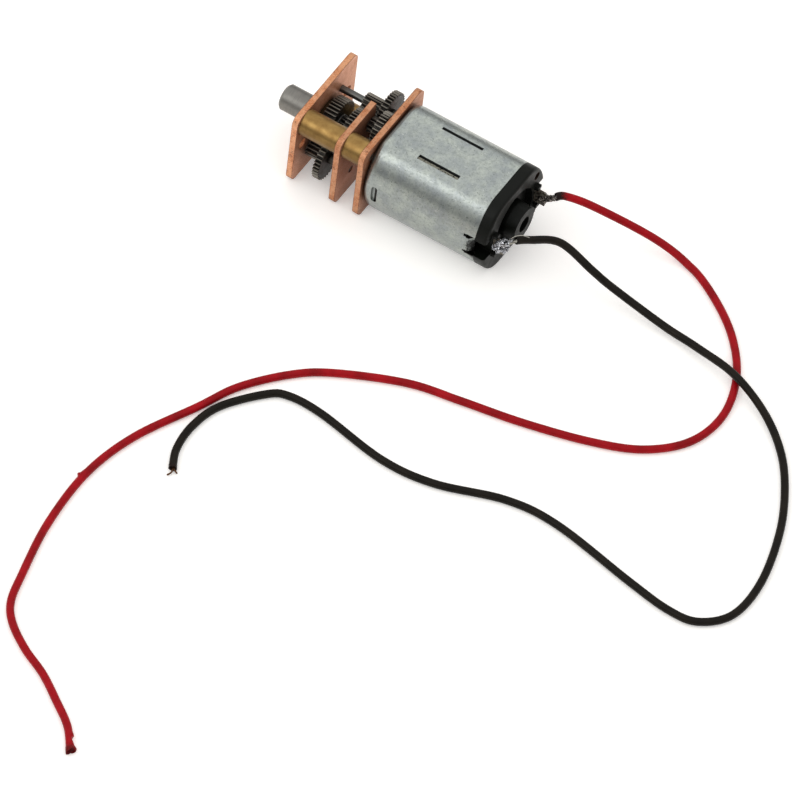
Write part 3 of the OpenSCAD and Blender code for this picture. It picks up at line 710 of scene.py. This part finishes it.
# Balls of solder: x, y, z and radius in millimetres
NEAR_BLOBS = [
    (-24.8, 4.5, 0, 0.36), (-25.2, 4.45, -0.2, 0.38), (-25.1, 4.4, 0.7, 0.38),
    (-25.6, 4.35, 0.2, 0.42), (-25.5, 4.35, 1.1, 0.4), (-26, 4.3, 0.5, 0.36),
    (-26.1, 4.25, 1.3, 0.36), (-25.7, 4.3, 1.7, 0.3), (-26.4, 4.1, 1.9, 0.26),
    (-25.8, 4.3, -0.3, 0.24)]
FAR_BLOBS = [
    (-24.6, -4.4, 0.5, 0.34), (-24.8, -4.35, -0.7, 0.4), (-25.1, -4.3, 0, 0.46),
    (-25.5, -4.25, 0.35, 0.4), (-25.5, -4.25, -0.45, 0.34), (-25.9, -4.2, 0.35, 0.42),
    (-26.3, -4.15, 0.7, 0.4), (-26.7, -4.1, 1.1, 0.36), (-27, -4.2, 1.3, 0.28)]
STRAY_WIRE = [mm(-26.2, 4.2, 1.9), mm(-26.7, 3.9, 2.6), mm(-27.3, 3.4, 2.7), mm(-27.9, 2.9, 2.3)]
STRAY_R = 0.05 * MM
BARE_R = 0.1 * MM
JOINT_STEPS = 12
# Steps between two points of a single wire, and its sides
SINGLE_STEPS = 8
SINGLE_SIDES = 8
# Across the red lead's free end, and out of the bend before it
ACROSS_END = Vector((-0.84, -0.54, 0))
OUT_OF_BEND = Vector((0.98, 0.1, 0.15))
# Burrs and nicks of the red sleeve: place, direction, height and reach
RED_MARKS = [
    (mm(-4.57, 52.91), OUT_OF_BEND, 0.26 * MM, 0.17 * MM),
    (mm(-4.59, 52.53), OUT_OF_BEND, 0.08 * MM, 0.35 * MM),
    (mm(-22, 82.7), ACROSS_END, 0.1 * MM, 0.3 * MM),
    (mm(-22.3, 83.1), ACROSS_END, -0.4 * MM, 0.26 * MM),
    (mm(-23, 84.1), ACROSS_END, 0.24 * MM, 0.35 * MM)]
# Frozen solder: lumps per grain, the level that stays in place, and rate and share of the skew
LUMP_RATE = 0.45
LUMP_LEVEL = 0.6
SKEW_RATE = 3
SKEW_SHARE = 0.35


def strands(name, route, material, stray=None):
    """Twisted wires along a route, and with stray one more wire that has come loose."""
    bm = bmesh.new()
    helix_bundle(bm, catmull(route, JOINT_STEPS))
    if stray:
        sweep(bm, catmull(stray, SINGLE_STEPS), lambda i, angle: STRAY_R, SINGLE_SIDES)
    return finished(bm, name, material)


def bare_wires(name, lines, material):
    """Single wires that stick out of a lead's free end."""
    bm = bmesh.new()
    for line in lines:
        sweep(bm, catmull(line, SINGLE_STEPS), lambda i, angle: BARE_R, SINGLE_SIDES)
    return finished(bm, name, material)


def solder_lump(name, blobs, material, seed, rough, grain):
    """Solder frozen in flat crystals of size grain: balls melted together and broken up."""
    # Without a seed, vector noise starts from the clock and differs in each run
    noise.seed_set(seed)
    bm = bmesh.new()
    for x, y, z, r in blobs:
        bmesh.ops.create_icosphere(bm, subdivisions=3, radius=r * MM,
                                   matrix=Matrix.Translation(mm(x, y, z)))
    piece = finished(bm, name, material)
    melt = piece.modifiers.new("melt", "REMESH")
    melt.mode = "VOXEL"
    melt.voxel_size = grain
    apply_modifiers(piece)
    for vert in piece.data.vertices:
        spot = vert.co / grain * LUMP_RATE + Vector((seed, 0, 0))
        vert.co += vert.normal * (noise.turbulence(spot, 3, True) - LUMP_LEVEL) * rough
        vert.co += noise.noise_vector(spot * SKEW_RATE) * SKEW_SHARE * rough
    for polygon in piece.data.polygons:
        polygon.use_smooth = False
    return piece


def apply_modifiers(piece):
    """Bakes the modifiers of a piece into its mesh."""
    graph = bpy.context.evaluated_depsgraph_get()
    made = bpy.data.meshes.new_from_object(piece.evaluated_get(graph))
    piece.modifiers.clear()
    piece.data = made


# ---- stage ----

FLOOR_REACH = 900 * MM
# The floor lies this far below the motor's flat, so that the two faces don't coincide
FLOOR_DROP = 0.005 * MM
KEY_PLACE = mm(170, 330, 390)
KEY_TARGET = mm(-14, 0, 0)
KEY_SIZE = 300 * MM
KEY_WATTS = 0.4
SKY_STRENGTH = 1.1
# Heights in the sky, from 0 at the horizon to 1 overhead, and the grey level at each
SKY_STOPS = ((0.16, 0.06), (0.5, 1.0))


def add_floor():
    """Flat sheet that the motor lies on."""
    bm = bmesh.new()
    bmesh.ops.create_grid(bm, x_segments=8, y_segments=8, size=FLOOR_REACH)
    floor = finished(bm, "floor", floor_white())
    floor.location = (CAMERA_TARGET.x, CAMERA_TARGET.y, FLOOR_Z - FLOOR_DROP)


def add_key():
    """Weak soft box over the near side."""
    data = bpy.data.lights.new("key_box", "AREA")
    data.shape = "RECTANGLE"
    data.size = KEY_SIZE
    data.size_y = KEY_SIZE
    data.energy = KEY_WATTS
    made = bpy.data.objects.new("key_box", data)
    made.location = KEY_PLACE
    made.rotation_euler = (KEY_TARGET - KEY_PLACE).to_track_quat("-Z", "Y").to_euler()
    bpy.context.scene.collection.objects.link(made)


def add_sky():
    """Broad even dome that darkens towards the horizon."""
    world = bpy.data.worlds.new("studio")
    world.use_nodes = True
    tree = world.node_tree
    sky = tree.nodes["Background"]
    place = tree.nodes.new("ShaderNodeTexCoord")
    parts = tree.nodes.new("ShaderNodeSeparateXYZ")
    ramp = tree.nodes.new("ShaderNodeValToRGB")
    tree.links.new(place.outputs["Generated"], parts.inputs[0])
    tree.links.new(parts.outputs["Z"], ramp.inputs[0])
    tree.links.new(ramp.outputs[0], sky.inputs["Color"])
    for stop, (height, level) in zip(ramp.color_ramp.elements, SKY_STOPS):
        stop.position = height
        stop.color = (level, level, level, 1)
    sky.inputs["Strength"].default_value = SKY_STRENGTH
    bpy.context.scene.world = world
    bpy.context.scene.view_settings.view_transform = "Standard"


# ---- assembly ----

FINISHES = {
    "plate_copper": plate_copper(),
    "brass": brass(),
    "bearing_bronze": bearing_bronze(),
    "gear_steel": gear_steel(),
    "pin_steel": pin_steel(),
    "shaft_steel": shaft_steel(),
    "screw_steel": screw_steel(),
    "can_zinc": can_zinc(),
    "magnet": ferrite(),
    "core_steel": core_steel(),
    "winding": winding(),
    "nylon_white": nylon("nylon_white", rgb(214, 208, 190), rgb(232, 226, 210), 0.4, 0.5),
    "nylon_black": nylon("nylon_black", rgb(3, 5, 2), rgb(9, 12, 7), 0.38, 0.52,
                         [(mm(-24.4, -4.1, 3.1), 0.62 * MM, rgb(38, 26, 19))]),
    "commutator_copper": commutator_copper(),
    "terminal_metal": terminal_metal(),
    "solder": solder("solder", rgb(222, 223, 227), rgb(136, 138, 143), 0.4),
    "strand": copper_strand("strand", rgb(116, 112, 102), rgb(196, 194, 186)),
}


def dress_nodes():
    """Gives the CAD nodes the materials of their slots; leads are pieces with their own."""
    for row in frame["record"]["subparts"]:
        piece = NODES[row["node"]]
        finish = FINISHES.get(row["material_slot"])
        if finish is None:
            continue
        piece.data.materials.clear()
        piece.data.materials.append(finish)


def stand_in(piece, node):
    """Puts a piece on the housing in place of a CAD node, which it hides."""
    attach(piece, "housing")
    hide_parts(node)


def add_leads():
    """Both leads with their joints and ends, in place of the plain CAD tubes."""
    scorch = rgb(26, 15, 11)
    red = lead_skin("red_pvc", rgb(130, 4, 12), rgb(164, 8, 22), 0.34, 0.46,
                    [(RED_ROUTE[0], 1.1 * MM, scorch), (RED_ROUTE[-1], 0.7 * MM, rgb(92, 12, 14))])
    black = lead_skin("black_pvc", rgb(14, 11, 7), rgb(28, 23, 16), 0.34, 0.48,
                      [(BLACK_ROUTE[0], 0.5 * MM, rgb(5, 5, 4)),
                       (BLACK_ROUTE[-1], 0.5 * MM, rgb(34, 16, 13))])
    burnt = copper_strand("burnt_strand", rgb(40, 26, 18), rgb(120, 84, 58))
    dull = solder("dull_solder", rgb(158, 152, 146), rgb(44, 36, 31), 0.48)
    near_lump = solder_lump("near_joint_solder", NEAR_BLOBS, FINISHES["solder"], 3, 0.4 * MM,
                            0.14 * MM)
    far_lump = solder_lump("far_joint_solder", FAR_BLOBS, dull, 11, 0.1 * MM, 0.08 * MM)
    black_joint = strands("black_joint_strands", BLACK_JOINT, FINISHES["strand"], STRAY_WIRE)
    red_joint = strands("red_joint_strands", RED_JOINT, burnt)
    bare_end = bare_wires("black_bare_strands", (BARE_ONE, BARE_TWO), burnt)
    stand_in(near_lump, "near_solder")
    stand_in(far_lump, "far_solder")
    stand_in(black_joint, "black_strands")
    stand_in(red_joint, "red_strands")
    stand_in(bare_end, "black_bare_end")
    for name, route, finish, flare, slant, marks, extra in (
            ("red", RED_ROUTE, red, 0.1, -0.6 * ACROSS_END, RED_MARKS, [red_joint]),
            ("black", BLACK_ROUTE, black, 0.03, 0.2 * ACROSS_END, [], [black_joint, bare_end])):
        sleeve, path = insulation(f"{name}_sleeve", route, finish, flare, slant, marks)
        stand_in(sleeve, f"{name}_lead")


add_camera()
add_leads()
dress_nodes()
add_floor()
add_key()
add_sky()
